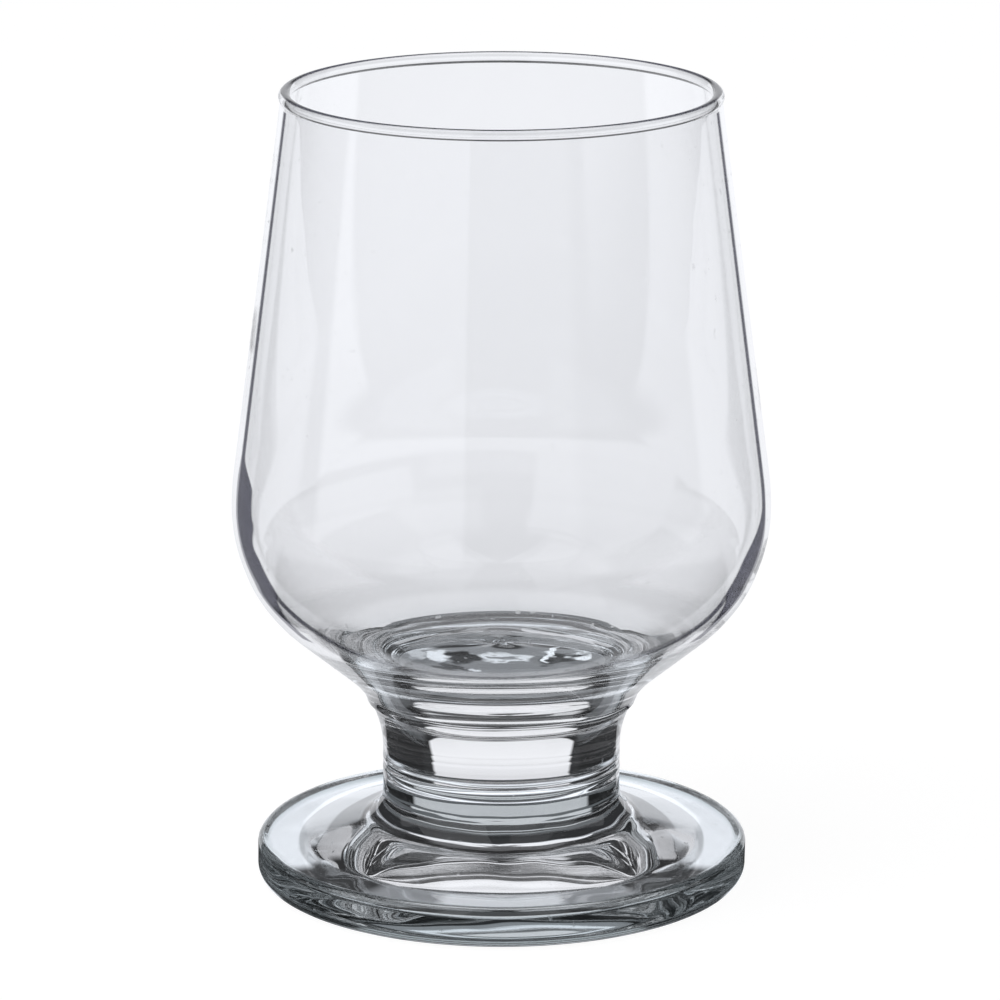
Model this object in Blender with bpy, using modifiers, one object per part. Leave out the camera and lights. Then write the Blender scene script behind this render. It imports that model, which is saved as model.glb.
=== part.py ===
"""Water goblet: a blown bowl, a short solid stem and a pressed foot, three gathers of glass welded hot.

Metres, +Z up. The origin is the middle of the underside of the foot, on the table.
Every piece is turned about the Z axis. One outline of (radius, height) points runs down the outside of the
whole goblet, and the two welds cut it into the outsides of the bowl, the stem and the foot.
"""

import math

import bpy
from mathutils import Matrix, Vector

COLLECTION_NAME = "water_goblet"

# Heights of the three pieces, stacked from the table up
FOOT_HEIGHT = 0.0168           # table to the lower weld
STEM_HEIGHT = 0.0107           # lower weld to the upper weld
BOWL_HEIGHT = 0.0925           # upper weld to the top of the rim
WELD_GAP = 0.0003              # clearance left between two pieces at a weld

# Bowl
RIM_RADIUS = 0.0322            # outside of the wall at the rim
WALL = 0.0012                  # thickness of the bowl's side
BEAD_SWELL = 0.0003            # how far the fire-polished rim stands proud of each face of the wall
BELLY_RADIUS = 0.0418          # where the lines of the side and the base meet, before rounding
BELLY_HEIGHT = 0.0197          # height of that corner above the upper weld
BELLY_ROUNDING = 0.0240
FLOOR_THICKNESS = 0.0069       # solid glass between the upper weld and the inside floor
FLOOR_ROUNDING = 0.0240        # inside corner between the floor and the side

# Stem
WAIST_RADIUS = 0.0178          # narrowest part of the stem
THROAT_HEIGHT = 0.0105         # above the lower weld, where the waist meets the line of the bowl's base
THROAT_ROUNDING = 0.0163

# Foot
FOOT_RADIUS = 0.0368
EDGE_HEIGHT = 0.0062           # thickness of the foot at its edge
EDGE_ROUNDING = 0.0012         # upper edge
HEEL_ROUNDING = 0.0019         # lower edge
BRIM_WIDTH = 0.0068            # flat ring from the edge in to the foot of the hub
BRIM_ROUNDING = 0.0060         # hollow between the brim and the hub's slope
HUB_RISE = 0.0035              # from the brim up to where the slope meets the line of the waist
HUB_ROUNDING = 0.0050          # flare from the slope into the stem

# Fineness of the turned surfaces
TURN_STEPS = 64
ARC_STEP = math.radians(12.0)
BEAD_STEP = math.radians(25.0)
MERGE_DISTANCE = 0.00001

# Clear soda-lime glass, thicker and so a little greener from the bowl down to the foot
BOWL_COLOUR = (0.96, 0.97, 0.98, 1.0)
STEM_COLOUR = (0.90, 0.94, 0.93, 1.0)
FOOT_COLOUR = (0.86, 0.92, 0.90, 1.0)
GLASS_ROUGHNESS = 0.02
GLASS_IOR = 1.52

# Heights above the table that follow from the stack
LOWER_WELD = FOOT_HEIGHT
UPPER_WELD = LOWER_WELD + STEM_HEIGHT
RIM_TOP = UPPER_WELD + BOWL_HEIGHT


def arc(centre, start, sweep, step_angle):
    """Return points from start round centre through a signed angle, both ends included."""
    steps = max(2, math.ceil(abs(sweep) / step_angle))
    arm = start - centre
    return [centre + Matrix.Rotation(sweep * step / steps, 2) @ arm for step in range(steps + 1)]


def rounded_outline(corners):
    """Return an outline through (radius, height, rounding) corners, each rounded by a tangent arc."""
    places = [Vector((radius, height)) for radius, height, _ in corners]
    points = []
    for index, (corner, (_, _, rounding)) in enumerate(zip(places, corners)):
        if rounding == 0.0:
            points.append(corner)
            continue
        back = (places[index - 1] - corner).normalized()
        onward = (places[index + 1] - corner).normalized()
        half_angle = back.angle(onward) / 2.0
        start = corner + back * rounding / math.tan(half_angle)
        centre = corner + (back + onward).normalized() * rounding / math.sin(half_angle)
        left_turn = back.y * onward.x - back.x * onward.y
        sweep = math.copysign(math.pi - 2.0 * half_angle, left_turn)
        points.extend(arc(centre, start, sweep, ARC_STEP))
    return points


def cut_outline(points, height):
    """Split a falling outline where it first crosses a height, and return the parts above and below."""
    for index in range(1, len(points)):
        above, below = points[index - 1], points[index]
        if below.y <= height < above.y:
            crossing = above.lerp(below, (above.y - height) / (above.y - below.y))
            return points[:index] + [crossing], [crossing] + points[index:]
    raise ValueError("the outline does not reach this height")


def rim_frame():
    """Return the middle of the rim's bead, its radius, and the wall's outward and downward directions."""
    bead = WALL / 2.0 + BEAD_SWELL
    outside = Vector((RIM_RADIUS, RIM_TOP - bead))
    downward = (Vector((BELLY_RADIUS, UPPER_WELD + BELLY_HEIGHT)) - outside).normalized()
    outward = Vector((-downward.y, downward.x))
    return outside - outward * WALL / 2.0, bead, outward, downward


def outside_outline():
    """Return the outside of the whole goblet, from the rim's wall down to the middle of the underside."""
    centre, _, outward, _ = rim_frame()
    wall_top = centre + outward * WALL / 2.0
    brim_radius = FOOT_RADIUS - BRIM_WIDTH
    return rounded_outline([
        (wall_top.x, wall_top.y, 0.0),
        (BELLY_RADIUS, UPPER_WELD + BELLY_HEIGHT, BELLY_ROUNDING),
        (WAIST_RADIUS, LOWER_WELD + THROAT_HEIGHT, THROAT_ROUNDING),
        (WAIST_RADIUS, EDGE_HEIGHT + HUB_RISE, HUB_ROUNDING),
        (brim_radius, EDGE_HEIGHT, BRIM_ROUNDING),
        (FOOT_RADIUS, EDGE_HEIGHT, EDGE_ROUNDING),
        (FOOT_RADIUS, 0.0, HEEL_ROUNDING),
        (0.0, 0.0, 0.0),
    ])


def inside_outline():
    """Return the inside of the bowl, from the middle of its floor up to the bead of the rim."""
    centre, bead, outward, downward = rim_frame()
    floor_height = UPPER_WELD + FLOOR_THICKNESS
    inside = centre - outward * WALL / 2.0
    corner_radius = inside.x + downward.x * (floor_height - inside.y) / downward.y
    bead_foot = inside + downward * math.sqrt(bead ** 2 - (WALL / 2.0) ** 2)
    return rounded_outline([
        (0.0, floor_height, 0.0),
        (corner_radius, floor_height, FLOOR_ROUNDING),
        (bead_foot.x, bead_foot.y, 0.0),
    ])


def rim_outline(start):
    """Return the round bead of the rim, from its inner foot over the top to its outer foot."""
    centre, bead, _, _ = rim_frame()
    hidden_angle = 2.0 * math.asin(WALL / 2.0 / bead)
    return arc(centre, start, hidden_angle - 2.0 * math.pi, BEAD_STEP)


def on_axis(height):
    """Return the point of the turning axis at a height."""
    return Vector((0.0, height))


def bowl_outline():
    """Return the half section of the bowl: inside, rim, outside and weld face."""
    base = UPPER_WELD + WELD_GAP
    inside = inside_outline()
    outside, _ = cut_outline(outside_outline(), base)
    return inside[:-1] + rim_outline(inside[-1]) + outside[1:] + [on_axis(base)]


def stem_outline():
    """Return the half section of the stem: upper weld face, flared side and lower weld face."""
    base = LOWER_WELD + WELD_GAP
    _, below_bowl = cut_outline(outside_outline(), UPPER_WELD)
    side, _ = cut_outline(below_bowl, base)
    return [on_axis(UPPER_WELD)] + side + [on_axis(base)]


def foot_outline():
    """Return the half section of the foot: weld face, hub, brim, edge and underside."""
    _, below_stem = cut_outline(outside_outline(), LOWER_WELD)
    return [on_axis(LOWER_WELD)] + below_stem


def glass_material(name, colour):
    """Return a clear glass material of one tint."""
    material = bpy.data.materials.new(name)
    material.use_nodes = True
    shader = material.node_tree.nodes["Principled BSDF"]
    shader.inputs["Base Color"].default_value = colour
    shader.inputs["Roughness"].default_value = GLASS_ROUGHNESS
    shader.inputs["Metallic"].default_value = 0.0
    shader.inputs["IOR"].default_value = GLASS_IOR
    shader.inputs["Transmission Weight"].default_value = 1.0
    return material


def turned_piece(name, outline, seat, colour, collection, parent):
    """Add one piece: its half section, stood on its seat and turned about the Z axis."""
    mesh = bpy.data.meshes.new(name)
    points = [(point.x, 0.0, point.y - seat) for point in outline]
    edges = [(index, index + 1) for index in range(len(points) - 1)]
    mesh.from_pydata(points, edges, [])
    mesh.materials.append(glass_material(name + "_glass", colour))
    piece = bpy.data.objects.new(name, mesh)
    piece.location = (0.0, 0.0, seat)
    piece.parent = parent
    collection.objects.link(piece)
    turn = piece.modifiers.new("turn", "SCREW")
    turn.axis = "Z"
    turn.angle = 2.0 * math.pi
    turn.screw_offset = 0.0
    turn.steps = TURN_STEPS
    turn.render_steps = TURN_STEPS
    turn.use_merge_vertices = True
    turn.merge_threshold = MERGE_DISTANCE
    turn.use_smooth_shade = True
    return piece


def main():
    """Clear the scene and build the goblet."""
    for existing in list(bpy.data.objects):
        bpy.data.objects.remove(existing, do_unlink=True)
    collection = bpy.data.collections.new(COLLECTION_NAME)
    bpy.context.scene.collection.children.link(collection)
    stand = bpy.data.objects.new("stand", None)
    collection.objects.link(stand)
    turned_piece("foot", foot_outline(), 0.0, FOOT_COLOUR, collection, stand)
    turned_piece("stem", stem_outline(), LOWER_WELD + WELD_GAP, STEM_COLOUR, collection, stand)
    turned_piece("bowl", bowl_outline(), UPPER_WELD + WELD_GAP, BOWL_COLOUR, collection, stand)


main()
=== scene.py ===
"""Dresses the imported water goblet: three hot-welded pieces of clear soda-lime glass on a white table.

Metres, +Z up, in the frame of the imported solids, whose origin is the middle of the underside of the foot.
Every piece is a closed skin turned about the Z axis. Where two pieces are welded, each ends in a flat disc
that light passes straight through, so the three read as one body of glass.
"""

import logging
import math
from dataclasses import dataclass, field
from enum import Enum
from typing import Any, Callable, Iterable, Mapping, Optional, Sequence, Union

import bpy
from mathutils import Matrix, Vector


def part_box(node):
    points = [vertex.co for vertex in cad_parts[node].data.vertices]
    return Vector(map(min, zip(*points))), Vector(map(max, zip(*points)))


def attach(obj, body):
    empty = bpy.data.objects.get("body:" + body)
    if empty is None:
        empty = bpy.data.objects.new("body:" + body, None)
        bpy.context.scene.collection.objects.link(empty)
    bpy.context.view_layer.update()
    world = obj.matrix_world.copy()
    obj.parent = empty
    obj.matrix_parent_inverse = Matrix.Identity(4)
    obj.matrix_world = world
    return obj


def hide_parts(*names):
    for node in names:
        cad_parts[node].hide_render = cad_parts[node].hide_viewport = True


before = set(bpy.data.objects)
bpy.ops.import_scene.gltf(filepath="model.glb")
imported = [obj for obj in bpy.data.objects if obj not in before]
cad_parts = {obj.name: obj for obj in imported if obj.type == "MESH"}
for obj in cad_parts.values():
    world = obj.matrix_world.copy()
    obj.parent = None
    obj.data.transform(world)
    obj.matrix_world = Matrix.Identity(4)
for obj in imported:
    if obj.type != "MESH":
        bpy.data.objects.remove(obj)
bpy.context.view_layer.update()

LOG = logging.getLogger("goblet")

BODY = "root"
LIGHT_BOUNCES = 96                 # through as many faces of glass as the goblet puts in the way
STAGE_SEGMENTS = 96

Number = Union[float, int]
Colour = tuple[float, float, float, float]

WHITE: Colour = (1.0, 1.0, 1.0, 1.0)
COOL_WHITE: Colour = (0.952, 0.964, 1.0, 1.0)      # of what the glass sees
PALE_BLUE: Colour = (0.890, 0.940, 1.0, 1.0)       # of the painted light and shade on the table under the foot


class Face(Enum):
    """The side of the glass that a station of an outline lies on."""

    INSIDE = "inside"
    RIM = "rim"
    OUTSIDE = "outside"


class Slot(Enum):
    """The two material slots of every piece."""

    SKIN = 0
    WELD = 1


class Ray(Enum):
    """The kinds of ray that the table, the cards and the room tell apart."""

    CAMERA = "Is Camera Ray"
    GLOSSY = "Is Glossy Ray"
    TRANSMISSION = "Is Transmission Ray"


class Wire:
    """A value socket of a node tree that takes part in Python arithmetic by adding Math nodes."""

    def __init__(self, board: "Board", socket: bpy.types.NodeSocket) -> None:
        """Keep the socket and the board that it belongs to."""
        self.board = board
        self.socket = socket

    def math(self, operation: str, *others: "Operand") -> "Wire":
        """Return the result of one Math node.

        Args:
            operation: the Math node's operation.
            others: the second and third operands, if the operation has them.

        Returns:
            The node's value.
        """
        inputs = {index: operand for index, operand in enumerate((self, *others))}
        return self.board.node("ShaderNodeMath", {"operation": operation}, inputs)["Value"]

    def reflected(self, operation: str, first: Number) -> "Wire":
        """Return the result of a Math node whose first operand is a plain number."""
        return self.board.node("ShaderNodeMath", {"operation": operation}, {0: first, 1: self})["Value"]

    def __add__(self, other: "Operand") -> "Wire":
        """Return self + other."""
        return self.math("ADD", other)

    def __radd__(self, other: Number) -> "Wire":
        """Return other + self."""
        return self.reflected("ADD", other)

    def __sub__(self, other: "Operand") -> "Wire":
        """Return self - other."""
        return self.math("SUBTRACT", other)

    def __rsub__(self, other: Number) -> "Wire":
        """Return other - self."""
        return self.reflected("SUBTRACT", other)

    def __mul__(self, other: "Operand") -> "Wire":
        """Return self * other."""
        return self.math("MULTIPLY", other)

    def __rmul__(self, other: Number) -> "Wire":
        """Return other * self."""
        return self.reflected("MULTIPLY", other)

    def __truediv__(self, other: "Operand") -> "Wire":
        """Return self / other."""
        return self.math("DIVIDE", other)

    def __rtruediv__(self, other: Number) -> "Wire":
        """Return other / self."""
        return self.reflected("DIVIDE", other)

    def __abs__(self) -> "Wire":
        """Return the absolute value."""
        return self.math("ABSOLUTE")

    def above(self, low: "Operand", high: "Operand") -> "Wire":
        """Return 0 below low and 1 above high, with a smooth step between them.

        Args:
            low: where the step begins.
            high: where it ends.

        Returns:
            The step, from 0 to 1.
        """
        settings = {"interpolation_type": "SMOOTHSTEP", "clamp": True}
        inputs = {"Value": self, "From Min": low, "From Max": high, "To Min": 0.0, "To Max": 1.0}
        return self.board.node("ShaderNodeMapRange", settings, inputs)["Result"]

    def between(self, low: "Operand", high: "Operand", soft: Number) -> "Wire":
        """Return 1 from low to high, with a smooth step of width soft at each end."""
        return self.above(low - soft, low) * (1.0 - self.above(high, high + soft))


Operand = Union[Wire, Number]


class Made:
    """A node that was made, whose outputs are read by name as wires."""

    def __init__(self, board: "Board", node: bpy.types.Node) -> None:
        """Keep the node and its board."""
        self.board = board
        self.node = node

    def __getitem__(self, output: str) -> Wire:
        """Return the enabled output of that name."""
        for socket in self.node.outputs:
            if socket.name == output and socket.enabled:
                return Wire(self.board, socket)
        raise KeyError(f"{self.node.bl_idname} has no output {output}")


class Board:
    """A node tree that is being wired."""

    def __init__(self, tree: bpy.types.NodeTree) -> None:
        """Clear the tree."""
        self.tree = tree
        tree.nodes.clear()

    def node(
        self,
        kind: str,
        settings: Optional[Mapping[str, Any]] = None,
        inputs: Optional[Mapping[Union[str, int], Any]] = None,
    ) -> Made:
        """Add any node.

        Args:
            kind: the node's type.
            settings: its properties, which are set first.
            inputs: the values or wires of its sockets, by name or by place.

        Returns:
            The node, ready to be wired on.
        """
        node = self.tree.nodes.new(kind)
        for name, value in (settings or {}).items():
            setattr(node, name, value)
        for name, value in (inputs or {}).items():
            socket = self.socket(node, name)
            if isinstance(value, Wire):
                self.tree.links.new(value.socket, socket)
            else:
                socket.default_value = value
        return Made(self, node)

    @staticmethod
    def socket(node: bpy.types.Node, name: Union[str, int]) -> bpy.types.NodeSocket:
        """Return an enabled input of a node.

        Args:
            node: the node.
            name: the input's name or place.

        Returns:
            The input.
        """
        if isinstance(name, int):
            return node.inputs[name]
        for socket in node.inputs:
            if socket.name == name and socket.enabled:
                return socket
        raise KeyError(f"{node.bl_idname} has no input {name}")

    def mix_colour(self, factor: Operand, first: Union[Wire, Colour], second: Union[Wire, Colour]) -> Wire:
        """Return a colour between two others."""
        settings = {"data_type": "RGBA", "clamp_factor": True}
        return self.node("ShaderNodeMix", settings, {"Factor": factor, "A": first, "B": second})["Result"]

    def mix_shader(self, factor: Operand, first: Wire, second: Wire) -> Wire:
        """Return a shader between two others."""
        return self.node("ShaderNodeMixShader", None, {0: factor, 1: first, 2: second})["Shader"]

    def noise(self, place: Wire, scale: float, detail: float = 2.0, roughness: float = 0.5) -> Wire:
        """Return cloudy noise.

        Args:
            place: where it is read, in metres.
            scale: blobs to the metre.
            detail: how many finer layers it has.
            roughness: how strong each finer layer is.

        Returns:
            The noise, from 0 to 1.
        """
        inputs = {"Vector": place, "Scale": scale, "Detail": detail, "Roughness": roughness}
        return self.node("ShaderNodeTexNoise", {"noise_dimensions": "3D"}, inputs)["Fac"]

    def object_place(self) -> Wire:
        """Return the place on the object, in metres."""
        return self.node("ShaderNodeTexCoord")["Object"]

    def polar(self, place: Wire) -> tuple[Wire, Wire]:
        """Return where a place lies about the axis.

        Args:
            place: the place, in metres.

        Returns:
            Its turn from straight behind, in degrees to either side, and its distance from the axis.
        """
        across, along, _ = self.split(place)
        turn = abs(across).math("ARCTAN2", along).math("DEGREES")
        return turn, (across * across + along * along).math("SQRT")

    def split(self, vector: Wire) -> tuple[Wire, Wire, Wire]:
        """Return the three parts of a vector."""
        parts = self.node("ShaderNodeSeparateXYZ", None, {"Vector": vector})
        return parts["X"], parts["Y"], parts["Z"]

    def dot(self, first: Wire, second: Wire) -> Wire:
        """Return the dot product of two vectors."""
        inputs = {0: first, 1: second}
        return self.node("ShaderNodeVectorMath", {"operation": "DOT_PRODUCT"}, inputs)["Value"]

    def seen_by(self, *rays: Ray) -> Wire:
        """Tell some kinds of ray from the others.

        Args:
            rays: the kinds.

        Returns:
            1 for any of them, and otherwise 0.
        """
        path = self.node("ShaderNodeLightPath")
        total: Wire = path[rays[0].value]
        for ray in rays[1:]:
            total = total.math("MAXIMUM", path[ray.value])
        return total


@dataclass(frozen=True)
class PaintedEdgeShade:
    """A painted dark line just inside a thin wall's outline, and on the bead of its rim: painted shade by
    lean that stands in for the dark refractions and reflections of the glass there.
    """

    colour: Colour
    lean: tuple[float, float]          # how far the wall leans away from the eye along the line
    thick: tuple[float, float]         # heights between which the line is wider
    wedge: tuple[float, float]         # heights on the -X side where the painted line widens into a painted dark wedge, standing in for a dark refraction
    bead_from: float                   # height above which any surface that leans far away has it too
    soft: float = 0.022
    thick_soft: float = 0.007
    thick_grow: tuple[float, float] = (0.11, 0.03)     # how much wider, on its inner and outer side
    wedge_soft: float = 0.0045
    wedge_grow: tuple[float, float] = (0.12, 0.02)
    wedge_side: tuple[float, float] = (0.024, 0.034)   # how far to the side it begins and is full
    bead_step: float = 0.0002
    bead_crest: tuple[float, float] = (0.72, 0.88)
    bead_lean: tuple[float, float] = (0.30, 0.52)

    def share(self, board: Board, place: Wire) -> Wire:
        """Wire the painted dark line.

        Args:
            board: the material that is being wired.
            place: the place on the piece, in metres.

        Returns:
            1 on the line and 0 off it.
        """
        across, _, up = board.split(place)
        lean = board.node("ShaderNodeLayerWeight", None, {"Blend": 0.5})["Facing"]
        geometry = board.node("ShaderNodeNewGeometry")
        entering = 1.0 - geometry["Backfacing"]
        outside = board.dot(place, geometry["Normal"]).math("GREATER_THAN", 0.0)
        _, _, crest = board.split(geometry["Normal"])
        thick = up.between(*self.thick, self.thick_soft)
        wedge = up.between(*self.wedge, self.wedge_soft) * (0.0 - across).above(*self.wedge_side)
        low = self.lean[0] - self.thick_grow[0] * thick - self.wedge_grow[0] * wedge
        high = self.lean[1] + self.thick_grow[1] * thick + self.wedge_grow[1] * wedge
        bead = up.above(self.bead_from, self.bead_from + self.bead_step)
        # painted shade: a dark line just inside the outline, and a dark crest on the rim's bead
        line = outside * lean.between(low, high, self.soft) * (1.0 - bead)
        return entering * (line + bead * crest.above(*self.bead_crest) * lean.above(*self.bead_lean))


@dataclass(frozen=True)
class DeepTint:
    """The tint of glass that is seen through its thickness, away from the axis."""

    colour: Colour
    reach: tuple[float, float]         # distances from the axis at which it begins and is full


@dataclass(frozen=True)
class GlassFinish:
    """Clear soda-lime glass with the faint marks of handling and of the mould."""

    name: str
    clear: Colour                      # tint of one pass through the glass
    deep: Optional[DeepTint] = None
    # a painted dark line along the outline, painted shade standing in for dark refractions
    line: Optional[PaintedEdgeShade] = None
    polish: float = 0.004              # roughness of the fire-polished surface
    smudge: float = 0.018              # roughness that handling adds in patches
    smudge_scale: float = 38.0         # patches to the metre
    smudge_detail: float = 4.0
    smudge_roughness: float = 0.6
    smudge_from: tuple[float, float] = (0.52, 0.75)
    speck: float = 0.25                # roughness of seeds and dust
    speck_scale: float = 900.0         # of them to the metre
    speck_from: tuple[float, float] = (0.80, 0.86)
    wave_scale: float = 70.0           # slow waves of the surface, to the metre
    wave_height: float = 0.00002
    ior: float = 1.52

    def tint(self, board: Board, place: Wire) -> Union[Wire, Colour]:
        """Return the glass's colour, with the painted dark edge line mixed in if it has one.

        Args:
            board: the material that is being wired.
            place: the place on the piece, in metres.

        Returns:
            One colour for the whole piece, or a wire if it changes over the piece.
        """
        tint: Union[Wire, Colour] = self.clear
        if self.deep is not None:
            _, reach = board.polar(place)
            tint = board.mix_colour(reach.above(*self.deep.reach), tint, self.deep.colour)
        # mix in the painted shade of the edge line
        if self.line is not None:
            tint = board.mix_colour(self.line.share(board, place), tint, self.line.colour)
        return tint

    def material(self) -> bpy.types.Material:
        """Return the glass, whose tint, roughness and surface change over the piece."""
        material = bpy.data.materials.new(self.name)
        material.use_nodes = True
        board = Board(material.node_tree)
        place = board.object_place()
        smudges = board.noise(place, self.smudge_scale, self.smudge_detail, self.smudge_roughness)
        specks = board.noise(place, self.speck_scale, 0.0)
        roughness = self.polish + self.smudge * smudges.above(*self.smudge_from)
        roughness = roughness + self.speck * specks.above(*self.speck_from)
        waves = board.noise(place, self.wave_scale, 1.0)
        bump = board.node(
            "ShaderNodeBump",
            None,
            {"Strength": 1.0, "Distance": self.wave_height, "Height": waves},
        )
        glass = board.node(
            "ShaderNodeBsdfPrincipled",
            None,
            {
                "Base Color": self.tint(board, place),
                "Roughness": roughness,
                "IOR": self.ior,
                "Transmission Weight": 1.0,
                "Normal": bump["Normal"],
            },
        )
        board.node("ShaderNodeOutputMaterial", None, {"Surface": glass["BSDF"]})
        return material


@dataclass(frozen=True)
class WeldFinish:
    """The inside of a hot weld, where the glass is one and nothing shows."""

    name: str = "hot_weld"

    def material(self) -> bpy.types.Material:
        """Return a material that light passes straight through."""
        material = bpy.data.materials.new(self.name)
        material.use_nodes = True
        board = Board(material.node_tree)
        clear = board.node("ShaderNodeBsdfTransparent", None, {"Color": WHITE})
        board.node("ShaderNodeOutputMaterial", None, {"Surface": clear["BSDF"]})
        return material


@dataclass(frozen=True)
class Spot:
    """A place on a turned surface before its marks are raised."""

    face: Face
    angle: float
    radius: float
    height: float


@dataclass(frozen=True)
class Ripple:
    """A slow swell that runs round a turned surface and up it, within a band of heights."""

    depth: float
    lobes: int                         # swells in one turn
    pitch: float                       # climb from one swell to the next
    phase: float
    middle: float                      # height of the middle of the band
    reach: float                       # from there to where the swell has died away

    def at(self, spot: Spot) -> float:
        """Return how far the surface stands out at a spot."""
        off = (spot.height - self.middle) / self.reach
        if abs(off) >= 1.0:
            return 0.0
        fade = (1.0 - off * off) ** 2
        climb = 2.0 * math.pi * (spot.height - self.middle) / self.pitch
        return self.depth * fade * math.cos(self.lobes * spot.angle + climb + self.phase)


@dataclass(frozen=True)
class Ring:
    """A fine ridge, or a groove if its depth is negative, that wanders as it runs round."""

    height: float
    depth: float
    width: float
    wander: float = 0.0                # how far it strays up and down
    lobes: int = 2                     # times in one turn
    phase: float = 0.0
    quick_share: float = 0.5           # of a quicker wave on top of the slow one
    quick_lobes: int = 3               # and how many more times it strays

    def at(self, spot: Spot) -> float:
        """Return how far the surface stands out at a spot."""
        quick = (self.lobes + self.quick_lobes) * spot.angle + 2.0 * self.phase
        wave = math.sin(self.lobes * spot.angle + self.phase) + self.quick_share * math.sin(quick)
        off = (spot.height - self.height - self.wander * wave) / self.width
        return self.depth * math.exp(-off * off)


@dataclass(frozen=True)
class Swell:
    """A low hump, or a hollow if its depth is negative, on the floor of the bowl."""

    across: float
    along: float
    wide: float
    long: float
    depth: float

    def at(self, spot: Spot) -> float:
        """Return how far the surface stands out at a spot."""
        across = (spot.radius * math.cos(spot.angle) - self.across) / self.wide
        along = (spot.radius * math.sin(spot.angle) - self.along) / self.long
        return self.depth * math.exp(-across * across - along * along)


Mark = Union[Ripple, Ring, Swell]


@dataclass(frozen=True)
class Station:
    """One point of an outline: its distance from the axis, its height, its outward normal and its face."""

    place: Vector
    normal: Vector
    face: Face


@dataclass(frozen=True)
class Corner:
    """A corner of an outline before it is rounded."""

    radius: float
    height: float
    rounding: float = 0.0


class Outline:
    """Points in the half plane of the axis, from which stations are taken."""

    ARC_STEP = math.radians(1.5)

    @classmethod
    def arc(cls, centre: Vector, start: Vector, sweep: float) -> list[Vector]:
        """Return the points of an arc, both ends included.

        Args:
            centre: the middle of the circle.
            start: the first point.
            sweep: the signed angle that the arc runs through.

        Returns:
            The arc's points.
        """
        steps = max(2, math.ceil(abs(sweep) / cls.ARC_STEP))
        arm = start - centre
        return [centre + Matrix.Rotation(sweep * step / steps, 2) @ arm for step in range(steps + 1)]

    @classmethod
    def rounded(cls, corners: Sequence[Corner]) -> list[Vector]:
        """Return an outline through corners, each rounded by a tangent arc.

        Args:
            corners: the corners in order, the first and last of them sharp.

        Returns:
            The outline's points.
        """
        places = [Vector((corner.radius, corner.height)) for corner in corners]
        points: list[Vector] = []
        for index, corner in enumerate(corners):
            place = places[index]
            if corner.rounding == 0.0:
                points.append(place)
                continue
            back = (places[index - 1] - place).normalized()
            onward = (places[index + 1] - place).normalized()
            half_angle = back.angle(onward) / 2.0
            start = place + back * corner.rounding / math.tan(half_angle)
            centre = place + (back + onward).normalized() * corner.rounding / math.sin(half_angle)
            left_turn = back.y * onward.x - back.x * onward.y
            sweep = math.copysign(math.pi - 2.0 * half_angle, left_turn)
            points.extend(cls.arc(centre, start, sweep))
        return points

    @staticmethod
    def spaced(points: Sequence[Vector], spacing: float) -> list[Vector]:
        """Return points an even distance apart along an outline, both ends included.

        Args:
            points: the outline.
            spacing: about how far apart the points are to be.

        Returns:
            The new points.
        """
        lengths = [0.0]
        for first, second in zip(points, points[1:]):
            lengths.append(lengths[-1] + (second - first).length)
        steps = max(1, round(lengths[-1] / spacing))
        spaced: list[Vector] = []
        place = 0
        for step in range(steps + 1):
            target = lengths[-1] * step / steps
            while place < len(points) - 2 and lengths[place + 1] < target:
                place += 1
            span = lengths[place + 1] - lengths[place]
            share = (target - lengths[place]) / span if span else 0.0
            spaced.append(points[place].lerp(points[place + 1], share))
        return spaced

    @staticmethod
    def eased(points: Sequence[Vector], reach: int, above: float) -> list[Vector]:
        """Return an outline whose bends above a height begin and end gradually.

        Args:
            points: evenly spaced points.
            reach: how many neighbours on either side each point is averaged with.
            above: the height below which no point is moved.

        Returns:
            As many points, with the ends where they were.
        """
        free = [place for place, point in enumerate(points) if point.y > above]
        eased = list(points)
        for place in free:
            arm = min(reach, place - free[0], free[-1] - place)
            near = points[place - arm:place + arm + 1]
            eased[place] = sum(near, Vector((0.0, 0.0))) / len(near)
        return eased

    @staticmethod
    def cut(points: Sequence[Vector], height: float) -> tuple[list[Vector], list[Vector]]:
        """Split a falling outline where it first crosses a height.

        Args:
            points: the outline, from the top down.
            height: where it is cut.

        Returns:
            The part above the cut and the part below it.
        """
        for index in range(1, len(points)):
            above, below = points[index - 1], points[index]
            if below.y <= height < above.y:
                crossing = above.lerp(below, (above.y - height) / (above.y - below.y))
                return [*points[:index], crossing], [crossing, *points[index:]]
        raise ValueError("the outline does not reach this height")

    @staticmethod
    def stations(points: Sequence[Vector], face: Face) -> list[Station]:
        """Return stations whose normals stand to the left of the way that the outline runs.

        Args:
            points: the outline.
            face: the side of the glass that it lies on.

        Returns:
            One station for each point.
        """
        stations: list[Station] = []
        for index, point in enumerate(points):
            back = points[max(index - 1, 0)]
            onward = points[min(index + 1, len(points) - 1)]
            way = (onward - back).normalized()
            stations.append(Station(point, Vector((-way.y, way.x)), face))
        return stations


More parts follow.
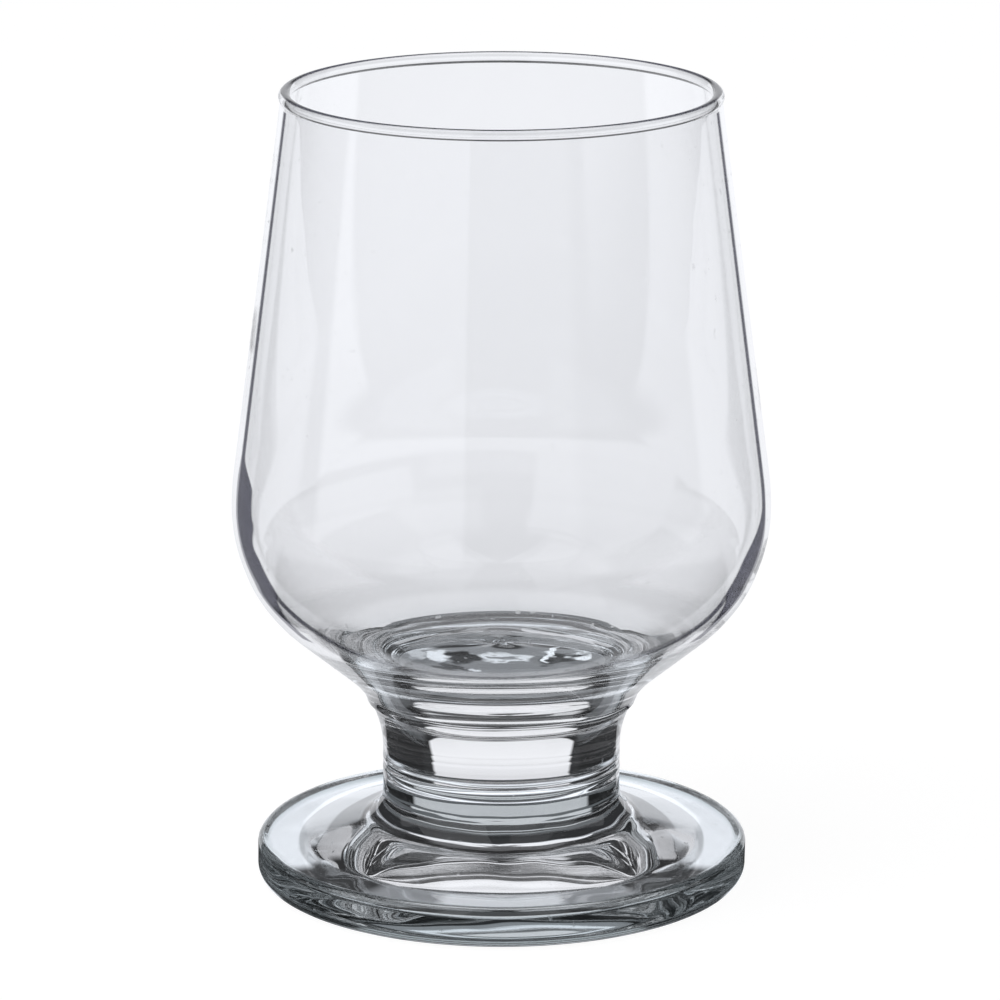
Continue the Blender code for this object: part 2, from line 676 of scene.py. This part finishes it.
class Skin:
    """Builds a closed mesh by turning stations about the Z axis."""

    SEGMENTS = 192
    SHARP = math.radians(40.0)
    AXIS = 0.0000001

    def __init__(self, name: str, relief: Callable[[Spot], float]) -> None:
        """Keep the piece's name and how far its surface stands out at a spot."""
        self.name = name
        self.relief = relief
        self.points: list[tuple[float, float, float]] = []
        self.faces: list[tuple[int, ...]] = []
        self.slots: list[int] = []

    def ring(self, station: Station) -> list[int]:
        """Add the points that one station leaves as it is turned.

        Args:
            station: the station.

        Returns:
            The points' numbers, or the number of one point if the station is on the axis.
        """
        first = len(self.points)
        if station.place.x < self.AXIS:
            out = self.relief(Spot(station.face, 0.0, 0.0, station.place.y)) * station.normal.y
            self.points.append((0.0, 0.0, station.place.y + out))
            return [first]
        for step in range(self.SEGMENTS):
            angle = 2.0 * math.pi * step / self.SEGMENTS
            spot = Spot(station.face, angle, station.place.x, station.place.y)
            place = station.place + station.normal * self.relief(spot)
            self.points.append((place.x * math.cos(angle), place.x * math.sin(angle), place.y))
        return list(range(first, first + self.SEGMENTS))

    def band(self, upper: Sequence[int], lower: Sequence[int], slot: Slot) -> None:
        """Add the faces between two rings, or between a ring and a point of the axis.

        Args:
            upper: the ring that the outline comes to first.
            lower: the next one.
            slot: the faces' material slot.
        """
        for step in range(self.SEGMENTS):
            after = (step + 1) % self.SEGMENTS
            if len(upper) == 1:
                face: tuple[int, ...] = (upper[0], lower[step], lower[after])
            elif len(lower) == 1:
                face = (upper[step], lower[0], upper[after])
            else:
                face = (upper[step], lower[step], lower[after], upper[after])
            self.faces.append(face)
            self.slots.append(slot.value)

    def skin(self, stations: Sequence[Station]) -> tuple[list[int], list[int]]:
        """Add a skin of glass over stations.

        Args:
            stations: the stations in order.

        Returns:
            The skin's first and last rings.
        """
        first = last = self.ring(stations[0])
        for station in stations[1:]:
            ring = self.ring(station)
            self.band(last, ring, Slot.SKIN)
            last = ring
        return first, last

    def weld(self, rim: Sequence[int], height: float, facing_up: bool) -> None:
        """Close a ring with a weld disc.

        Args:
            rim: the ring.
            height: where the middle of the disc lies.
            facing_up: whether the disc closes the top of a piece or its bottom.
        """
        centre = [len(self.points)]
        self.points.append((0.0, 0.0, height))
        if facing_up:
            self.band(centre, rim, Slot.WELD)
        else:
            self.band(rim, centre, Slot.WELD)

    def piece(self, materials: Mapping[Slot, bpy.types.Material]) -> bpy.types.Object:
        """Return the finished piece.

        Args:
            materials: the material of each slot.

        Returns:
            A smooth-shaded object in the scene, sharp only at the edges of its welds.
        """
        mesh = bpy.data.meshes.new(self.name)
        mesh.from_pydata(self.points, [], self.faces)
        for slot in Slot:
            mesh.materials.append(materials[slot])
        mesh.polygons.foreach_set("material_index", self.slots)
        mesh.polygons.foreach_set("use_smooth", [True] * len(self.faces))
        mesh.set_sharp_from_angle(angle=self.SHARP)
        mesh.validate()
        mesh.update()
        piece = bpy.data.objects.new(self.name, mesh)
        bpy.context.scene.collection.objects.link(piece)
        return piece


@dataclass
class Welds:
    """Where the pieces meet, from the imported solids, and the hair between two weld discs."""

    hair: float = 0.000004
    lower: float = field(init=False)
    upper: float = field(init=False)

    def __post_init__(self) -> None:
        """Put each weld halfway between the solids that it joins."""
        foot_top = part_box("foot")[1].z
        stem_low, stem_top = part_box("stem")[0].z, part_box("stem")[1].z
        bowl_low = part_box("bowl")[0].z
        self.lower = (foot_top + stem_low) / 2.0
        self.upper = (stem_top + bowl_low) / 2.0


@dataclass
class Foot:
    """The pressed foot: a thick disc with a flat brim, a sloping hub and a flat underside."""

    finish: GlassFinish
    radius: float = field(default_factory=lambda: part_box("foot")[1].x)
    edge_height: float = 0.0062
    edge_rounding: float = 0.0012
    heel_rounding: float = 0.0019
    brim_width: float = 0.0068
    brim_rounding: float = 0.0060
    hub_rise: float = 0.0035
    hub_rounding: float = 0.0050
    spacing: float = 0.00035
    # Waves of the pressed glass, and a ring where the stem was set on
    marks: tuple[Mark, ...] = (
        Ripple(0.000040, 3, 0.020, 0.7, 0.008, 0.012),
        Ripple(0.000030, 7, 0.011, 2.1, 0.008, 0.010),
        Ripple(0.000018, 17, 0.008, 0.3, 0.009, 0.007),
        Ring(0.0133, 0.00006, 0.00035, 0.00008, 2, 0.4),
    )

    def corners(self, waist: float) -> list[Corner]:
        """Return the foot's outside.

        Args:
            waist: the radius of the stem above.

        Returns:
            The corners from the flare below the waist to the middle of the underside.
        """
        return [
            Corner(waist, self.edge_height + self.hub_rise, self.hub_rounding),
            Corner(self.radius - self.brim_width, self.edge_height, self.brim_rounding),
            Corner(self.radius, self.edge_height, self.edge_rounding),
            Corner(self.radius, 0.0, self.heel_rounding),
            Corner(0.0, 0.0),
        ]


@dataclass
class Stem:
    """The solid stem, waisted between the foot and the bowl."""

    finish: GlassFinish
    waist: float = 0.0178
    throat_height: float = 0.0105
    throat_rounding: float = 0.0163
    spacing: float = 0.00015
    # The wandering ridge of the upper weld, and two rings at the lower one
    marks: tuple[Mark, ...] = (
        Ring(0.0275, 0.00030, 0.00060, 0.00030, 2, 0.9),
        Ring(0.0186, 0.00005, 0.00030, 0.00006, 3, 1.3),
        Ring(0.0167, 0.00007, 0.00035, 0.00006, 2, 2.2),
    )

    def corners(self) -> list[Corner]:
        """Return the corner between the waist and the line of the bowl's base."""
        return [Corner(self.waist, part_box("foot")[1].z + self.throat_height, self.throat_rounding)]


@dataclass
class Bowl:
    """The blown bowl: a thin tapered wall with a beaded rim on a thick rounded base."""

    finish: GlassFinish
    rim_top: float = field(default_factory=lambda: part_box("bowl")[1].z)
    rim_radius: float = 0.0322
    wall: float = 0.0011
    bead_swell: float = 0.00035
    belly_radius: float = 0.0418
    belly_height: float = 0.0472
    belly_rounding: float = 0.0240
    floor_height: float = 0.0349
    floor_rounding: float = 0.0222
    spacing: float = 0.0007
    bead_spacing: float = 0.00015
    ease: int = 6                      # points on either side over which the blown wall's bends are eased
    ease_above: float = 0.044
    # Unevenness of the blown wall and of the thick floor
    inside_marks: tuple[Mark, ...] = (
        Ripple(0.000050, 2, 0.090, 0.4, 0.075, 0.055),
        Ripple(0.000030, 5, 0.040, 1.9, 0.060, 0.040),
        Ripple(0.000120, 2, 0.030, 2.6, 0.036, 0.014),
        Swell(0.0020, 0.0030, 0.0090, 0.0080, 0.0003),
    )

    def bead(self) -> float:
        """Return the radius of the rim's bead."""
        return self.wall / 2.0 + self.bead_swell

    def lean(self) -> tuple[Vector, Vector]:
        """Return the wall's outward and downward directions."""
        top = Vector((self.rim_radius, self.rim_top - self.bead()))
        downward = (Vector((self.belly_radius, self.belly_height)) - top).normalized()
        return Vector((-downward.y, downward.x)), downward

    def bead_middle(self) -> Vector:
        """Return the middle of the rim's bead."""
        outward, _ = self.lean()
        return Vector((self.rim_radius, self.rim_top - self.bead())) - outward * self.wall / 2.0

    def bead_foot(self, side: float) -> Vector:
        """Return where the bead meets the wall.

        Args:
            side: -1 for the inside of the wall, and 1 for the outside.

        Returns:
            The foot of the bead.
        """
        outward, downward = self.lean()
        drop = math.sqrt(self.bead() ** 2 - (self.wall / 2.0) ** 2)
        return self.bead_middle() + outward * side * self.wall / 2.0 + downward * drop

    def corners(self) -> list[Corner]:
        """Return the outside of the bowl, from the bead to the belly."""
        start = self.bead_foot(1.0)
        return [
            Corner(start.x, start.y),
            Corner(self.belly_radius, self.belly_height, self.belly_rounding),
        ]

    def inside(self) -> list[Vector]:
        """Return the inside of the bowl, from the middle of its floor up to the bead."""
        end = self.bead_foot(-1.0)
        _, downward = self.lean()
        corner = end.x + downward.x * (self.floor_height - end.y) / downward.y
        return Outline.rounded([
            Corner(0.0, self.floor_height),
            Corner(corner, self.floor_height, self.floor_rounding),
            Corner(end.x, end.y),
        ])

    def blown(self, points: Sequence[Vector]) -> list[Vector]:
        """Return a side of the wall evenly spaced, with its bends eased."""
        return Outline.eased(Outline.spaced(points, self.spacing), self.ease, self.ease_above)

    def rim(self) -> list[Vector]:
        """Return the bead of the rim, from its inner foot over the top to its outer foot."""
        hidden = 2.0 * math.asin(self.wall / 2.0 / self.bead())
        return Outline.arc(self.bead_middle(), self.bead_foot(-1.0), hidden - 2.0 * math.pi)


@dataclass
class Goblet:
    """The three pieces and the one outline that runs down the outside of them all."""

    bowl: Bowl
    stem: Stem
    foot: Foot
    welds: Welds = field(default_factory=Welds)

    def outside(self) -> list[Vector]:
        """Return the outside of the whole goblet, from the rim's bead to the middle of the underside."""
        corners = [*self.bowl.corners(), *self.stem.corners(), *self.foot.corners(self.stem.waist)]
        return Outline.rounded(corners)

    def relief(self, spot: Spot) -> float:
        """Return how far the glass stands out from its true form.

        Args:
            spot: where.

        Returns:
            The height of all the marks there.
        """
        if spot.face is Face.OUTSIDE:
            marks: Iterable[Mark] = (*self.stem.marks, *self.foot.marks)
        elif spot.face is Face.INSIDE:
            marks = self.bowl.inside_marks
        else:
            marks = ()
        return sum(mark.at(spot) for mark in marks)

    def sides(self) -> tuple[list[Vector], list[Vector], list[Vector]]:
        """Return the outsides of the bowl, the stem and the foot, as the welds cut them."""
        bowl, rest = Outline.cut(self.outside(), self.welds.upper)
        stem, foot = Outline.cut(rest, self.welds.lower)
        return bowl, stem, foot

    @staticmethod
    def finish_piece(
        skin: Skin,
        finish: GlassFinish,
        weld: bpy.types.Material,
        node: str,
    ) -> bpy.types.Object:
        """Dress a skin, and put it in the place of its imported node.

        Args:
            skin: the turned skin.
            finish: its glass.
            weld: the material of its weld discs.
            node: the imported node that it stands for.

        Returns:
            The piece.
        """
        piece = skin.piece({Slot.SKIN: finish.material(), Slot.WELD: weld})
        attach(piece, BODY)
        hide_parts(node)
        LOG.info("%s: %d faces", piece.name, len(skin.faces))
        return piece

    def build(self) -> list[bpy.types.Object]:
        """Make the three pieces.

        Returns:
            The bowl, the stem and the foot.
        """
        weld = WeldFinish().material()
        bowl_side, stem_side, foot_side = self.sides()
        hair = Vector((0.0, self.welds.hair))

        bowl = Skin("goblet_bowl", self.relief)
        inside = Outline.stations(self.bowl.blown(self.bowl.inside()), Face.INSIDE)
        rim = Outline.stations(Outline.spaced(self.bowl.rim(), self.bowl.bead_spacing), Face.RIM)
        outside = Outline.stations(self.bowl.blown(bowl_side), Face.OUTSIDE)
        _, low = bowl.skin([*inside[:-1], *rim, *outside[1:]])
        bowl.weld(low, self.welds.upper, facing_up=False)

        stem = Skin("goblet_stem", self.relief)
        stem_points = Outline.spaced(stem_side, self.stem.spacing)
        stem_points[0] = stem_points[0] - hair
        stem_points[-1] = stem_points[-1] + hair
        top, low = stem.skin(Outline.stations(stem_points, Face.OUTSIDE))
        stem.weld(top, self.welds.upper - self.welds.hair, facing_up=True)
        stem.weld(low, self.welds.lower + self.welds.hair, facing_up=False)

        foot = Skin("goblet_foot", self.relief)
        foot_points = Outline.spaced(foot_side, self.foot.spacing)
        top, _ = foot.skin(Outline.stations(foot_points, Face.OUTSIDE))
        foot.weld(top, self.welds.lower, facing_up=True)

        return [
            self.finish_piece(bowl, self.bowl.finish, weld, "bowl"),
            self.finish_piece(stem, self.stem.finish, weld, "stem"),
            self.finish_piece(foot, self.foot.finish, weld, "foot"),
        ]


def flat_ring(name: str, inner: float, outer: float, height: float) -> bpy.types.Object:
    """Add a flat stage ring that faces up, or a disc if it has no inner radius.

    Args:
        name: the object's name.
        inner: the radius of the hole.
        outer: the radius of the edge.
        height: where it lies.

    Returns:
        The ring, marked as stage.
    """
    turns = [2.0 * math.pi * step / STAGE_SEGMENTS for step in range(STAGE_SEGMENTS)]
    points = [(outer * math.cos(turn), outer * math.sin(turn), 0.0) for turn in turns]
    faces: list[tuple[int, ...]] = [tuple(range(STAGE_SEGMENTS))]
    if inner > 0.0:
        points.extend([(inner * math.cos(turn), inner * math.sin(turn), 0.0) for turn in turns])
        faces = []
        for step in range(STAGE_SEGMENTS):
            after = (step + 1) % STAGE_SEGMENTS
            faces.append((step, after, after + STAGE_SEGMENTS, step + STAGE_SEGMENTS))
    mesh = bpy.data.meshes.new(name)
    mesh.from_pydata(points, [], faces)
    ring = bpy.data.objects.new(name, mesh)
    ring.location = (0.0, 0.0, height)
    bpy.context.scene.collection.objects.link(ring)
    LOG.info("%s: %.2f m across", name, 2.0 * outer)
    return ring


@dataclass(frozen=True)
class PaintedCaustic:
    """A painted oval of light or shade on the table under the foot, standing in for the caustics and shadow
    of the goblet's own refraction.
    """

    across: float
    along: float
    wide: float
    long: float
    level: float
    edge: tuple[float, float] = (0.40, 1.10)           # where its soft edge begins and ends

    def over(self, level: Wire, across: Wire, along: Wire) -> Wire:
        """Lay this painted oval of light or shade over the table.

        Args:
            level: how bright the table is without it.
            across: the place on the table, to the right.
            along: and away from the camera.

        Returns:
            How bright the table is with it.
        """
        off = (across - self.across) / self.wide
        far = (along - self.along) / self.long
        share = 1.0 - (off * off + far * far).above(*self.edge)
        return level + (self.level - level) * share


@dataclass(frozen=True)
class PaintedSector:
    """A part of the table under the foot, by its turn from straight behind, in degrees, and its reach, with
    a painted level of light or shade.
    """

    turn_from: float
    turn_to: float
    reach_from: float
    reach_to: float
    level: float
    turn_soft: float = 8.0
    reach_soft: float = 0.0012

    def light(self, turn: Wire, reach: Wire) -> Wire:
        """Paint light or shade on this part of the table.

        Args:
            turn: the turn from straight behind, in degrees.
            reach: the distance from the axis.

        Returns:
            How bright it makes the table.
        """
        share = turn.between(self.turn_from, self.turn_to, self.turn_soft)
        return share * reach.between(self.reach_from, self.reach_to, self.reach_soft) * self.level


@dataclass
class Table:
    """The white table. The glass sees it only round the foot, where it has painted light and shade standing
    in for the goblet's caustics and shadow, and sees the lower half of the room beyond.
    """

    radius: float = 4.0
    below: float = 0.0002              # under the foot, so that no two faces share a plane
    glow: float = 0.95
    paper: Colour = (0.16, 0.16, 0.16, 1.0)
    shade: float = 0.035               # of the table under the goblet, where no light gathers
    # painted light and shade on the table under the foot, standing in for the light that the goblet's glass
    # gathers there and for its shadow
    painted_sectors: tuple[PaintedSector, ...] = (
        PaintedSector(-1.0, 180.0, -0.001, 0.0195, 0.30),        # under the stem
        PaintedSector(-1.0, 76.0, 0.0205, 0.0250, 0.42),         # round it
        PaintedSector(114.0, 200.0, 0.0205, 0.0250, 0.44),
        PaintedSector(29.0, 50.0, 0.0255, 0.0312, 0.95),         # under the brim, at either side
        PaintedSector(48.0, 80.0, 0.0255, 0.0312, 0.85),
        PaintedSector(78.0, 106.0, 0.0255, 0.0312, 0.75),
        PaintedSector(29.0, 56.0, 0.0309, 0.0365, 1.35),
        PaintedSector(50.0, 80.0, 0.0309, 0.0365, 1.28),
        PaintedSector(78.0, 108.0, 0.0309, 0.0365, 1.30),
        PaintedSector(144.0, 200.0, 0.0260, 0.0305, 0.40),       # and in front
        PaintedSector(164.0, 200.0, 0.0260, 0.0305, 0.75),
        PaintedSector(146.0, 200.0, 0.0315, 0.0365, 0.42),
        PaintedSector(-20.0, 20.0, 0.0370, 0.0440, 0.20),        # just behind the foot
        PaintedSector(112.0, 148.0, 0.0450, 0.0800, 0.26),       # off its front corners
    )
    edge: float = 0.0440               # of the part that the glass sees all the way round
    # there the table keeps its painted level, mostly the painted shade, so the lower glass shows dark
    # reflections
    apron_from: float = 66.0           # beyond it the glass sees only the front and the sides
    apron_soft: float = 8.0
    apron_end: float = 0.074
    apron_fade: float = 0.016
    step: float = 0.002
    warp: float = 0.009                # how far noise shifts the painted caustics below, standing in for the goblet's uneven glass bending them
    warp_scale: tuple[float, float] = (190.0, 247.0)   # to the metre, to the side and away
    painted_caustics: tuple[PaintedCaustic, ...] = (
        PaintedCaustic(-0.0055, 0.0180, 0.0022, 0.0050, 0.02),
        PaintedCaustic(-0.0080, 0.0108, 0.0034, 0.0034, 0.02),
        PaintedCaustic(0.0090, 0.0170, 0.0028, 0.0050, 0.02),
        PaintedCaustic(-0.0142, 0.0190, 0.0019, 0.0044, 0.90),
        PaintedCaustic(-0.0100, 0.0180, 0.0028, 0.0046, 1.40),
        PaintedCaustic(-0.0050, 0.0092, 0.0011, 0.0028, 1.10),
        PaintedCaustic(0.0004, 0.0182, 0.0044, 0.0036, 1.30),
        PaintedCaustic(0.0004, 0.0180, 0.0024, 0.0019, 0.40),
        PaintedCaustic(0.0077, 0.0205, 0.0009, 0.0060, 1.60),
        PaintedCaustic(0.0115, 0.0180, 0.0020, 0.0028, 1.60),
    )

    def to_glass(self, board: Board) -> tuple[Wire, Wire]:
        """Wire what rays from the glass see: the table with its painted light and shade.

        Args:
            board: the material that is being wired.

        Returns:
            How bright the table is to them, and where they see it at all.
        """
        place = board.object_place()
        across, along, _ = board.split(place)
        turn, reach = board.polar(place)
        level = self.painted_sectors[0].light(turn, reach)
        for painted_sector in self.painted_sectors[1:]:
            level = level.math("MAXIMUM", painted_sector.light(turn, reach))
        level = level.math("MAXIMUM", self.shade)
        across = across + self.warp * (board.noise(place, self.warp_scale[0]) - 0.5)
        along = along + self.warp * (board.noise(place, self.warp_scale[1]) - 0.5)
        for painted_caustic in self.painted_caustics:
            level = painted_caustic.over(level, across, along)
        beyond = reach.above(self.edge, self.edge + self.step)
        apron = turn.above(self.apron_from, self.apron_from + self.apron_soft)
        apron = apron * (1.0 - reach.above(self.apron_end, self.apron_end + self.apron_fade))
        return level, 1.0 - beyond + beyond * apron

    def material(self) -> bpy.types.Material:
        """Return the white that the camera sees, with the shadow, and the painted light and shade that the
        glass sees.
        """
        material = bpy.data.materials.new("white_table")
        material.use_nodes = True
        board = Board(material.node_tree)
        shine = board.node("ShaderNodeEmission", None, {"Color": WHITE, "Strength": self.glow})
        paper = board.node("ShaderNodeBsdfDiffuse", None, {"Color": self.paper})
        plain = board.node("ShaderNodeAddShader", None, {0: shine["Emission"], 1: paper["BSDF"]})
        level, share = self.to_glass(board)
        # painted light and shade under the foot, seen only by rays from the glass
        patch = board.node("ShaderNodeEmission", None, {"Color": PALE_BLUE, "Strength": level})
        clear = board.node("ShaderNodeBsdfTransparent", None, {"Color": WHITE})
        through = board.mix_shader(share, clear["BSDF"], patch["Emission"])
        both = board.mix_shader(board.seen_by(Ray.GLOSSY, Ray.TRANSMISSION), plain["Shader"], through)
        board.node("ShaderNodeOutputMaterial", None, {"Surface": both})
        return material

    def build(self) -> bpy.types.Object:
        """Make the table."""
        table = flat_ring("table", 0.0, self.radius, -self.below)
        table.data.materials.append(self.material())
        return table


@dataclass
class Shelf:
    """White cards at the back corners, seen only from above, so that the bowl has white behind it."""

    height: float = 0.030
    inner: float = 0.040
    outer: float = 1.2
    glow: float = 0.93
    fade_from: float = 0.042
    fade_to: float = 0.052
    bearing_from: float = 26.0         # degrees off straight behind, on either side
    bearing_to: float = 84.0
    bearing_soft: float = 4.0
    mirrored: float = 0.20             # how much of them shows in reflections

    def material(self) -> bpy.types.Material:
        """Return the cards' white, which only light that went through glass sees, and only from above."""
        material = bpy.data.materials.new("white_shelf")
        material.use_nodes = True
        board = Board(material.node_tree)
        turn, reach = board.polar(board.object_place())
        card = turn.between(self.bearing_from, self.bearing_to, self.bearing_soft)
        card = card * reach.above(self.fade_from, self.fade_to)
        seen = self.mirrored + (1.0 - self.mirrored) * board.seen_by(Ray.TRANSMISSION)
        seen = seen * (1.0 - board.node("ShaderNodeNewGeometry")["Backfacing"])
        shine = board.node("ShaderNodeEmission", None, {"Color": COOL_WHITE, "Strength": self.glow})
        clear = board.node("ShaderNodeBsdfTransparent", None, {"Color": WHITE})
        both = board.mix_shader(card * seen, clear["BSDF"], shine["Emission"])
        board.node("ShaderNodeOutputMaterial", None, {"Surface": both})
        return material

    def build(self) -> bpy.types.Object:
        """Hang the shelf."""
        shelf = flat_ring("white_shelf", self.inner, self.outer, self.height)
        shelf.data.materials.append(self.material())
        shelf.visible_camera = False
        shelf.visible_shadow = False
        shelf.visible_diffuse = False
        return shelf


@dataclass(frozen=True)
class Panel:
    """A patch of the room by its bearing, rightward from straight behind the goblet, and its elevation."""

    bearing_from: float
    bearing_to: float
    low: float
    high: float
    level: float
    soft: float = 3.0

    def mask(self, bearing: Wire, elevation: Wire) -> Wire:
        """Return whether a direction lies in the patch.

        Args:
            bearing: the direction's bearing, in degrees.
            elevation: and its elevation.

        Returns:
            The patch's share, from 0 to 1.
        """
        wide = bearing.between(self.bearing_from, self.bearing_to, self.soft)
        return wide * elevation.between(self.low, self.high, self.soft)


@dataclass
class Studio:
    """The room round the table: dark, with a white backdrop and soft panels, and its floor far below."""

    dark: float = 0.022
    backdrop: float = 1.0
    dim_above: float = 0.06            # how much darker it is above the horizon
    above: tuple[float, float] = (-6.0, 8.0)
    dim_below: float = 0.085           # and in a band of the table
    below: tuple[float, float] = (-27.0, -19.0)
    below_soft: float = 5.0
    dim_near: float = 0.075            # and where the white paper bends down to the table
    near: tuple[float, float] = (-15.0, -10.6)
    backdrop_half: float = 26.0        # degrees to either side of straight behind
    backdrop_mirrored: float = 2.0     # degrees more to either side in reflections
    backdrop_edge: float = 1.0
    backdrop_top: float = 13.0
    backdrop_fade: float = 5.0
    narrow_above: float = 4.0          # the white narrows above this elevation
    narrow: float = 0.6
    spread_below: float = -35.0        # the white spreads sideways below this elevation
    spread: float = 1.6
    ground: float = -62.0              # and goes all the way round below this one
    ground_fade: float = 14.0
    sides: float = 0.90                # of the table far off, seen through the glass from other sides
    sides_mirrored: float = 0.20
    sides_from: float = 66.0
    sides_soft: float = 6.0
    sides_low: float = -16.5
    sides_high: float = -9.0
    sides_fade: float = 6.0
    panels: tuple[Panel, ...] = (
        Panel(-18.0, 18.0, 18.0, 44.0, 0.12, 6.0),        # backdrop, fading upward
        Panel(72.0, 136.0, 4.0, 22.0, 0.60, 4.0),         # side walls
        Panel(-136.0, -72.0, 4.0, 22.0, 0.60, 4.0),
        Panel(58.0, 140.0, 62.0, 100.0, 0.80, 6.0),       # overhead, on either side
        Panel(-140.0, -58.0, 62.0, 100.0, 0.80, 6.0),
        Panel(-163.0, -96.0, -11.0, 55.0, 0.80, 3.0),     # softbox in front, on the left
        Panel(130.0, 165.0, 28.0, 52.0, 0.45, 9.0),       # window, on the right
        Panel(150.0, 200.0, -6.0, 8.0, 0.30, 8.0),        # room in front
        Panel(-200.0, -150.0, -6.0, 8.0, 0.30, 8.0),
    )

    def level(self, board: Board) -> Wire:
        """Wire the room.

        Args:
            board: the world that is being wired.

        Returns:
            How bright the room is in each direction.
        """
        across, along, up = board.split(board.node("ShaderNodeTexCoord")["Generated"])
        elevation = up.math("ARCSINE").math("DEGREES")
        bearing = across.math("ARCTAN2", along).math("DEGREES")
        through = board.seen_by(Ray.TRANSMISSION)
        half = self.backdrop_half + self.backdrop_mirrored * (1.0 - through)
        half = half + self.spread * (self.spread_below - elevation).math("MAXIMUM", 0.0)
        half = half - self.narrow * (elevation - self.narrow_above).math("MAXIMUM", 0.0)
        off = abs(bearing)
        behind = 1.0 - (off - half).above(-self.backdrop_edge, self.backdrop_edge)
        behind = behind * (1.0 - elevation.above(self.backdrop_top, self.backdrop_top + self.backdrop_fade))
        ground = 1.0 - elevation.above(self.ground, self.ground + self.ground_fade)
        white = self.backdrop - self.dim_above * elevation.above(*self.above)
        white = white - self.dim_below * elevation.between(*self.below, self.below_soft)
        white = white - self.dim_near * (1.0 - elevation.above(*self.near))
        level = (behind.math("MAXIMUM", ground) * white).math("MAXIMUM", self.dark)
        table = self.sides_mirrored + (self.sides - self.sides_mirrored) * through
        table = table * off.above(self.sides_from, self.sides_from + self.sides_soft)
        table = table * elevation.between(self.sides_low, self.sides_high, self.sides_fade)
        level = level.math("MAXIMUM", table)
        for panel in self.panels:
            level = level.math("MAXIMUM", panel.mask(bearing, elevation) * panel.level)
        return level

    def build(self) -> None:
        """Wire the world."""
        world = bpy.data.worlds.new("studio")
        world.use_nodes = True
        bpy.context.scene.world = world
        board = Board(world.node_tree)
        direct = board.seen_by(Ray.CAMERA)
        colour = board.mix_colour(direct, COOL_WHITE, WHITE)
        level = self.level(board).math("MAXIMUM", direct)
        shine = board.node("ShaderNodeBackground", None, {"Color": colour, "Strength": level})
        board.node("ShaderNodeOutputWorld", None, {"Surface": shine["Background"]})
        LOG.info("studio: %d panels", len(self.panels))


@dataclass
class Lamp:
    """A soft lamp overhead that gives the table its faint shadow."""

    place: tuple[float, float, float] = (-0.25, -0.15, 0.75)
    width: float = 0.5
    power: float = 1.2

    def build(self) -> bpy.types.Object:
        """Hang the lamp, facing the goblet."""
        light = bpy.data.lights.new("softbox", "AREA")
        light.shape = "SQUARE"
        light.size = self.width
        light.energy = self.power
        lamp = bpy.data.objects.new("softbox", light)
        lamp.location = self.place
        lamp.rotation_mode = "QUATERNION"
        lamp.rotation_quaternion = (-Vector(self.place)).to_track_quat("-Z", "Y")
        lamp.visible_glossy = False
        lamp.visible_transmission = False
        bpy.context.scene.collection.objects.link(lamp)
        return lamp


@dataclass
class Viewpoint:
    """The photograph's camera."""

    place: tuple[float, float, float] = (0.0, -0.7754, 0.2622)
    pitch: float = 0.2577
    lens: float = 194.0
    sensor: float = 36.0
    shift: float = -0.0014

    def build(self) -> bpy.types.Object:
        """Set up the camera and make it the scene's own."""
        lens = bpy.data.cameras.new("viewpoint")
        lens.sensor_width = self.sensor
        lens.lens = self.lens
        lens.shift_x = self.shift
        camera = bpy.data.objects.new("viewpoint", lens)
        camera.location = self.place
        camera.rotation_euler = (math.pi / 2.0 - self.pitch, 0.0, 0.0)
        bpy.context.scene.collection.objects.link(camera)
        bpy.context.scene.camera = camera
        return camera


BOWL_GLASS = GlassFinish(
    name="bowl_glass",
    clear=(0.90, 0.92, 0.93, 1.0),
    deep=DeepTint((0.992, 0.994, 0.998, 1.0), (0.014, 0.027)),
    # a painted dark line along the bowl's outline and on its rim's bead, painted shade standing in for dark
    # refractions
    line=PaintedEdgeShade(
        colour=(0.02, 0.02, 0.03, 1.0),
        lean=(0.752, 0.788),
        thick=(0.0500, 0.0530),
        wedge=(0.0590, 0.0630),
        bead_from=0.1178,
    ),
)
STEM_GLASS = GlassFinish(
    name="stem_glass",
    clear=(0.955, 0.958, 0.962, 1.0),
)
FOOT_GLASS = GlassFinish(
    name="foot_glass",
    clear=(0.955, 0.957, 0.968, 1.0),
    deep=DeepTint((0.36, 0.40, 0.41, 1.0), (0.0345, 0.0366)),
)


def light_paths() -> None:
    """Let light pass through as many faces of glass as the goblet puts in its way."""
    cycles = bpy.context.scene.cycles
    cycles.max_bounces = LIGHT_BOUNCES
    cycles.transmission_bounces = LIGHT_BOUNCES
    cycles.glossy_bounces = LIGHT_BOUNCES
    cycles.transparent_max_bounces = LIGHT_BOUNCES


def main() -> None:
    """Build the goblet, its table and its light."""
    logging.basicConfig(level=logging.INFO, format="%(name)s %(message)s")
    bpy.context.scene.view_settings.view_transform = "Standard"
    light_paths()
    Viewpoint().build()
    for piece in Goblet(Bowl(BOWL_GLASS), Stem(STEM_GLASS), Foot(FOOT_GLASS)).build():
        LOG.info("%s rides on %s", piece.name, BODY)
    Table().build()
    Shelf().build()
    Studio().build()
    Lamp().build()


if __name__ == "__main__":
    main()
